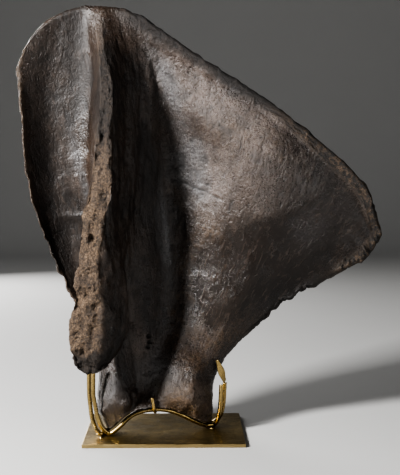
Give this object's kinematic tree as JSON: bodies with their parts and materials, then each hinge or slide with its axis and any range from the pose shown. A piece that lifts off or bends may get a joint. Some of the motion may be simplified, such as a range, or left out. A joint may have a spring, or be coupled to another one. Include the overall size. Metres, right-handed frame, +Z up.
{
  "type": "fossil mammoth shoulder blade",
  "caption": "Fossil mammoth shoulder blade with a tall broken spine and ragged edges, standing upright on its socket in a brass cradle on a flat brass plate",
  "frame": {"origin": "centre of the underside of the brass plate", "axes": "+Z up, the bone's outer face with the spine towards -Y, its front edge towards -X and its rear corner towards +X"},
  "size_m": [0.7849, 0.2926, 0.9112],
  "materials": {
    "fossil_bone": "satin",
    "aged_brass": "satin"
  },
  "bodies": {
    "root": {"shoulder_blade": "fossil_bone", "base_plate": "aged_brass", "cradle_front_bar": "aged_brass", "cradle_rear_bar": "aged_brass", "front_prong": "aged_brass", "edge_clip": "aged_brass", "front_left_stud": "aged_brass", "front_right_stud": "aged_brass", "rear_left_stud": "aged_brass", "rear_right_stud": "aged_brass"}
  },
  "joints": []
}
